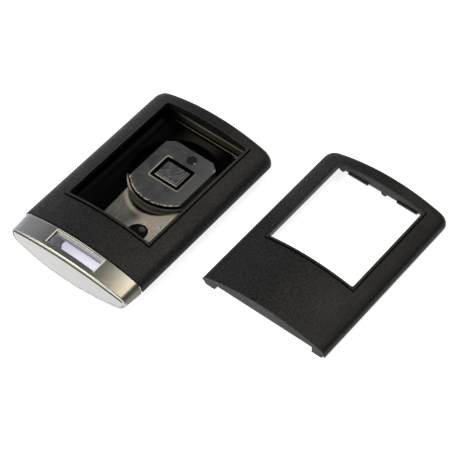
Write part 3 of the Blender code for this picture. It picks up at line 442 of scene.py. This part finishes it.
# the far wall and its two steps: painted brown where light reaches the wall, with painted
# highlights on the steps' tops, and left in painted shade at the left
right_part = ramp_up(tree, x, -13.0, -2.0)
lit_far_wall = together(tree, ramp_up(tree, y, FAR_WALL_MM - 0.3, FAR_WALL_MM + 0.3),
                    ramp_down(tree, facing_y, -0.8, -0.5), ramp_up(tree, z, 4.4, 4.8), right_part)
colour = paint(tree, colour, "39352b", lit_far_wall)
ledge_highlight = together(tree, ramp_up(tree, y, FAR_WALL_MM + 0.9, FAR_WALL_MM + 1.1),
                 ramp_up(tree, z, 3.0, 3.4), upward, right_part)
colour = paint(tree, colour, "6d685a", ledge_highlight)

# where it is pale, from wear and from painted light, it also shines more, and less sharply
paleness = add_node(tree, "ShaderNodeRGBToBW", {}, {"Color": colour}, "Val")
pale_share = ramp_up(tree, paleness, 0.004, 0.05)
scratches = add_node(tree, "ShaderNodeBump", {},
                     {"Height": strokes, "Distance": SCRATCH_DEPTH_MM * MM, "Strength": 0.5},
                     "Normal")
wire(tree, shader, {"Base Color": colour,
                    "Specular IOR Level": passing(tree, pale_share, 0.03, 0.5),
                    "Roughness": passing(tree, pale_share, 0.24, 0.42),
                    "Normal": scratches})

tray = softened("inner_tray", "tray_moulding")
tray.data.materials.append(worn_and_painted_light)
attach(tray, "case")
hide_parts("inner_tray")

# the plate that closes the spring's chamber from behind, moulded of the same plastic
back_plate = softened("spring_plate", "spring_carrier")
back_plate.data.materials.append(worn_and_painted_light)
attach(back_plate, "case")
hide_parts("spring_plate")


# ---- Springs ----------------------------------------------------------------------------------
# Two bent strips of bright spring steel: the leaf under the pad, and the detent beside the tongue.
strip_steel, _, shader = new_material("rolled spring steel")
shader.inputs["Base Color"].default_value = hex_colour("b9b9b6")
shader.inputs["Metallic"].default_value = 1.0
shader.inputs["Roughness"].default_value = 0.3
for node in ("pad_spring", "detent_spring"):
    leaf = softened(node, node + "_strip")
    leaf.data.materials.append(strip_steel)
    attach(leaf, "case")
    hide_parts(node)


# ---- Push pad ---------------------------------------------------------------------------------
# A small moulded key in its well in the platform, with a bevelled rim and a fine hatch on top. On
# its near and right sides the bevel's two edges carry painted highlights, with painted shade on
# the bevel between them.
PAD_TOP_HALF_MM = (3.65, 2.75)    # half sizes of the flat top inside the bevel
PAD_TOP_HEIGHT_MM = 5.46
HATCH_MM = 0.2                    # the hatch's pitch
HATCH_ANGLE = math.radians(35)

hatched, tree, shader = new_material("moulded ABS, hatched")
place, x, y, z = places_mm(tree)
turned = add_node(tree, "ShaderNodeVectorRotate", {"rotation_type": "Z_AXIS"},
                  {"Vector": place, "Angle": HATCH_ANGLE}, "Vector")
hatch = speckle(tree, turned, HATCH_MM, 0.4, 0.65, (1.0, 0.15, 1.0), 2.0)
key_top = ramp_up(tree, z, PAD_TOP_HEIGHT_MM - 0.02, PAD_TOP_HEIGHT_MM + 0.02)
colour = paint(tree, hex_colour("2b2c30"), "6a6b6e", together(tree, hatch, key_top))
from_top = outside_box(tree, x, y, (PAD_CENTRE_MM, PAD_TOP_HALF_MM))
lit_sides = either(tree, ramp_down(tree, y, PAD_CENTRE_MM[1] - 2.7, PAD_CENTRE_MM[1] - 2.4),
                   ramp_up(tree, x, PAD_CENTRE_MM[0] + 3.3, PAD_CENTRE_MM[0] + 3.6))
for shade, part in (("1b1b1e", ramp_up(tree, from_top, -0.05, 0.05)),
                    ("8d8d86", band(tree, from_top, (-0.25, -0.15), (-0.05, 0.05))),
                    ("b3b3ab", ramp_up(tree, from_top, 0.2, 0.3))):
    colour = paint(tree, colour, shade, together(tree, lit_sides, part))
wire(tree, shader, {"Base Color": colour})
shader.inputs["Roughness"].default_value = 0.36
pad = softened("push_pad", "pad_key")
pad.data.materials.append(hatched)
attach(pad, "pad")
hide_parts("push_pad")


# ---- Metal head -------------------------------------------------------------------------------
# A die-cast zinc shell, blasted and satin plated. The slot for the key ring goes through it and
# through the moulded core, and its edges carry painted highlights.
RING_SLOT_MM = ((0.7, -30.5), (8.55, 2.175))      # its centre and half sizes
TURNED_SLOT_MM = ((0.7, -29.5), (8.55, 3.175))    # the same, but its far edge is left sharp
SLOT_ENDS_MM = ((0.7, -30.5), (8.55, 3.5))        # boxes that leave out all but the slot's ends,
SLOT_WIDTH_MM = ((0.7, -30.5), (8.55, 6.0))       # and all but its width
EDGE_FALL_MM = 0.065                              # how far the slot's edges and the seam turn down
SEAM_MM = -27.5                                   # Y of the seam with the case
END_SEAT_MM = -33.3                               # Y of the seat of the end plate

satin, tree, shader = new_material("zinc casting, satin nickel plate")
_, x, y, z = places_mm(tree)
facing_x, facing_y, facing_z = facing(tree)
from_slot = outside_box(tree, x, y, RING_SLOT_MM)
turned_slot = ramp_up(tree, outside_box(tree, x, y, TURNED_SLOT_MM), 0.0, 0.3)
turned_seam = together(tree, ramp_up(tree, y, SEAM_MM - 0.45, SEAM_MM),
                       ramp_down(tree, x, -8.0, 0.0))
edges = add_node(tree, "ShaderNodeMath", {"operation": "SUBTRACT"},
                 {0: turned_slot, 1: turned_seam}, "Value")
bump = add_node(tree, "ShaderNodeBump", {},
                {"Height": edges, "Distance": EDGE_FALL_MM * MM, "Strength": 1.0}, "Normal")

# the plating: a soft sheen, painted cooler and darker to the left and with painted shade down the
# right side; the end's seat and the wall about it are painted pale to take away their shade
seat_floor = together(tree, ramp_down(tree, y, END_SEAT_MM, END_SEAT_MM + 0.1),
                      ramp_down(tree, facing_y, -0.98, -0.96))
seat_wall = together(tree, ramp_down(tree, y, END_SEAT_MM - 0.1, END_SEAT_MM),
                     ramp_down(tree, z, 4.5, 5.0), ramp_up(tree, facing_z, 0.2, 0.4))
right_side_shade = together(tree, ramp_up(tree, facing_x, 0.6, 0.9), ramp_up(tree, z, 1.4, 2.2))
colour = paint(tree, hex_colour("c8c6be"), "fafaf8", seat_floor)
colour = paint(tree, colour, "fafaf8", seat_wall)
colour = paint(tree, colour, "a5a6a8", ramp_down(tree, x, -18.0, -10.0))
colour = paint(tree, colour, "6a6963", right_side_shade)

# the slot's edges: a painted highlight line at each end, and two on the far side with a painted
# dark line between
slot_ends = together(tree, ramp_down(tree, from_slot, 0.3, 0.4),
                     ramp_up(tree, outside_box(tree, x, y, SLOT_ENDS_MM), 0.0, 0.05))
far_side = together(tree, ramp_up(tree, y, -28.4, -28.3),
                    ramp_down(tree, outside_box(tree, x, y, SLOT_WIDTH_MM), 0.1, 0.3))
first_line = together(tree, far_side, ramp_down(tree, from_slot, 0.17, 0.23))
shade_line = together(tree, far_side, band(tree, from_slot, (0.2, 0.25), (0.4, 0.45)))
second_line = together(tree, far_side, band(tree, from_slot, (0.42, 0.47), (0.62, 0.68)))
highlight_lines = either(tree, slot_ends, first_line, second_line)
colour = paint(tree, colour, "5a574b", shade_line)
colour = paint(tree, colour, "fffaf0", highlight_lines)

# the low part of the end's rim, painted pale and matt to take away the dark line of shade there,
# and the near edge, less glossy
lightened_low_rim = together(tree, ramp_down(tree, y, END_SEAT_MM, END_SEAT_MM + 0.3),
                   ramp_down(tree, z, 4.5, 5.0))
near_edge = together(tree, ramp_down(tree, facing_y, -0.3, -0.1), ramp_up(tree, z, 4.5, 5.5))
colour = paint(tree, colour, "f4f4f2", lightened_low_rim)
wire(tree, shader, {"Base Color": colour,
                    "Metallic": passing(tree, either(tree, highlight_lines, lightened_low_rim), 1.0, 0.0),
                    "Roughness": passing(tree, near_edge, 0.24, 0.42),
                    "Normal": bump})
shell = softened("end_cap", "head_shell")
even = shell.modifiers.new("even shading of the long faces", "WEIGHTED_NORMAL")
even.keep_sharp = True
shell.data.materials.append(satin)
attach(shell, "head")
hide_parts("end_cap")


# ---- Head's end plate -------------------------------------------------------------------------
# A pale anodised aluminium plate, pressed into the seat in the shell's end. Its upper edge is an
# arc, darkened by the rim that stands over it.
PLATE_ARC_MM = (0.5, -58.863)    # X and Z of the arc's centre
PLATE_ARC_RADIUS_MM = 67.413

pale, tree, shader = new_material("aluminium plate, blasted and clear anodised")
_, x, _, z = places_mm(tree)
upper_edge = ramp_up(tree, distance_from(tree, x, z, PLATE_ARC_MM),
                     PLATE_ARC_RADIUS_MM - 0.75, PLATE_ARC_RADIUS_MM - 0.55)
wire(tree, shader, {"Base Color": paint(tree, hex_colour("cdcecd"), "4f4b3a", upper_edge)})
shader.inputs["Metallic"].default_value = 0.5
shader.inputs["Roughness"].default_value = 0.5
end_face = softened("end_plate", "end_face_plate")
end_face.data.materials.append(pale)
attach(end_face, "head")
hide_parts("end_plate")


# ---- Head's core ------------------------------------------------------------------------------
# The moulded core inside the metal shell: the ring slot's inner walls, and the tongue that goes
# into the case. The far left corner of the slot carries a painted white highlight.
CORE_CORNER_MM = (-7.5, -28.7)

moulded_grey, tree, shader = new_material("moulded ABS, light grey")
_, x, y, _ = places_mm(tree)
corner_highlight = spot(tree, x, y, CORE_CORNER_MM, 0.15, 0.4)
wire(tree, shader, {"Base Color": paint(tree, hex_colour("c4c4d0"), "ffffff", corner_highlight)})
shader.inputs["Roughness"].default_value = 0.4
core = softened("cap_core", "head_core")
core.data.materials.append(moulded_grey)
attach(core, "head")
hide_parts("cap_core")


# ---- Rear cover -------------------------------------------------------------------------------
# The same grained ABS as the front shell, lying outer face up on the table.
COVER_WINDOW_MM = ((52.05, 26.625), (14.6, 16.85))    # its centre and half sizes

rear = softened("rear_cover", "rear_shell")
# the cover's left and far rims get darker painted shade, and its painted shade at the far right
# starts nearer
rear.data.materials.append(grained_plastic("moulded ABS, spark-eroded grain, cover",
                                           COVER_WINDOW_MM, "1b1b1d", 50.0))
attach(rear, "cover")
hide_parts("rear_cover")


# ---- Table ------------------------------------------------------------------------------------
# A sweep of white paper under the object. It is white to the camera and in reflections by its
# colour, not by more light, with a painted lavender shadow under the head, as the ring slot shows
# it.
TABLE_HALF = 1.5
TABLE_DROP = 0.00002                              # keeps the paper clear of the object's foot
PAPER_GLOW = 0.85
# the painted lavender shadow under the head
SHADOW_UNDER_HEAD_MM = ((-3.0, -24.5), (10.0, 4.5))      # centre and half sizes of the lavender part

floor_mesh = bmesh.new()
bmesh.ops.create_grid(floor_mesh, x_segments=1, y_segments=1, size=TABLE_HALF)
table_mesh = bpy.data.meshes.new("white_table")
floor_mesh.to_mesh(table_mesh)
floor_mesh.free()
table = bpy.data.objects.new("white_table", table_mesh)
table.location = (0, 0, cad_box[0][2] - TABLE_DROP)
bpy.context.scene.collection.objects.link(table)

paper, tree, shader = new_material("white paper sweep")
_, x, y, _ = places_mm(tree)
rays = add_node(tree, "ShaderNodeLightPath").outputs
seen = either(tree, rays["Is Camera Ray"], rays["Is Glossy Ray"], rays["Is Transmission Ray"])
shadow_under_head = ramp_down(tree, outside_box(tree, x, y, SHADOW_UNDER_HEAD_MM), 0.0, 2.0)
wire(tree, shader, {"Emission Color": paint(tree, hex_colour("ffffff"), "d4d4e4", shadow_under_head),
                    "Emission Strength": together(tree, seen, PAPER_GLOW)})
shader.inputs["Base Color"].default_value = (0.8, 0.8, 0.8, 1)
shader.inputs["Roughness"].default_value = 0.8
table_mesh.materials.append(paper)


# ---- Studio light -----------------------------------------------------------------------------
# A grey room that is white near the table, with a cool window to the left and a warm one overhead
# at the back, and two soft lamps. The camera sees plain white behind the object.
COOL_WINDOW = ((-0.87, 0.45, 0.2), 18.0, (1.3, 1.33, 1.42, 1))     # way, tightness and light
WARM_WINDOW = ((0.19, 0.48, 0.856), 60.0, (2.1, 1.9, 1.42, 1))

surround = bpy.data.worlds.new("white studio")
surround.use_nodes = True
tree = surround.node_tree
back = tree.nodes["Background"]
way = add_node(tree, "ShaderNodeTexCoord", output="Generated")
sky = hex_colour("4b4c4f")
for towards, tightness, light in (COOL_WINDOW, WARM_WINDOW):
    along_it = add_node(tree, "ShaderNodeVectorMath", {"operation": "DOT_PRODUCT"},
                        {0: way, 1: towards}, "Value")
    lobe = add_node(tree, "ShaderNodeMath", {"operation": "POWER"},
                    {0: either(tree, along_it, 0.0), 1: tightness}, "Value")
    glow = add_node(tree, "ShaderNodeRGB")
    glow.outputs["Color"].default_value = light
    sky = paint(tree, sky, glow.outputs["Color"], lobe)
height = add_node(tree, "ShaderNodeSeparateXYZ", {}, {"Vector": way}, "Z")
sky = paint(tree, sky, "e8e8ea", ramp_down(tree, height, -0.05, 0.45))
rays = add_node(tree, "ShaderNodeLightPath").outputs
seen = either(tree, rays["Is Camera Ray"], rays["Is Transmission Ray"])
wire(tree, back, {"Color": paint(tree, sky, "ffffff", seen)})
back.inputs["Strength"].default_value = 1.0
bpy.context.scene.world = surround


def soft_lamp(name, azimuth, elevation, distance, size, power, colour):
    """A square lamp that looks at the object from two angles in degrees."""
    lamp = bpy.data.lights.new(name, "AREA")
    lamp.size = size
    lamp.energy = power
    lamp.color = colour
    made = bpy.data.objects.new(name, lamp)
    outward = outward_from(math.radians(azimuth), math.radians(elevation))
    made.location = VIEW_TARGET + outward * distance
    made.rotation_euler = outward.to_track_quat("Z", "Y").to_euler()
    bpy.context.scene.collection.objects.link(made)


soft_lamp("front_softbox", azimuth=318, elevation=54, distance=0.8, size=0.5, power=4.4,
          colour=(1.0, 0.985, 0.95))
soft_lamp("warm_top_lamp", azimuth=174, elevation=60.5, distance=0.8, size=0.2, power=0.8,
          colour=(1.0, 0.93, 0.8))
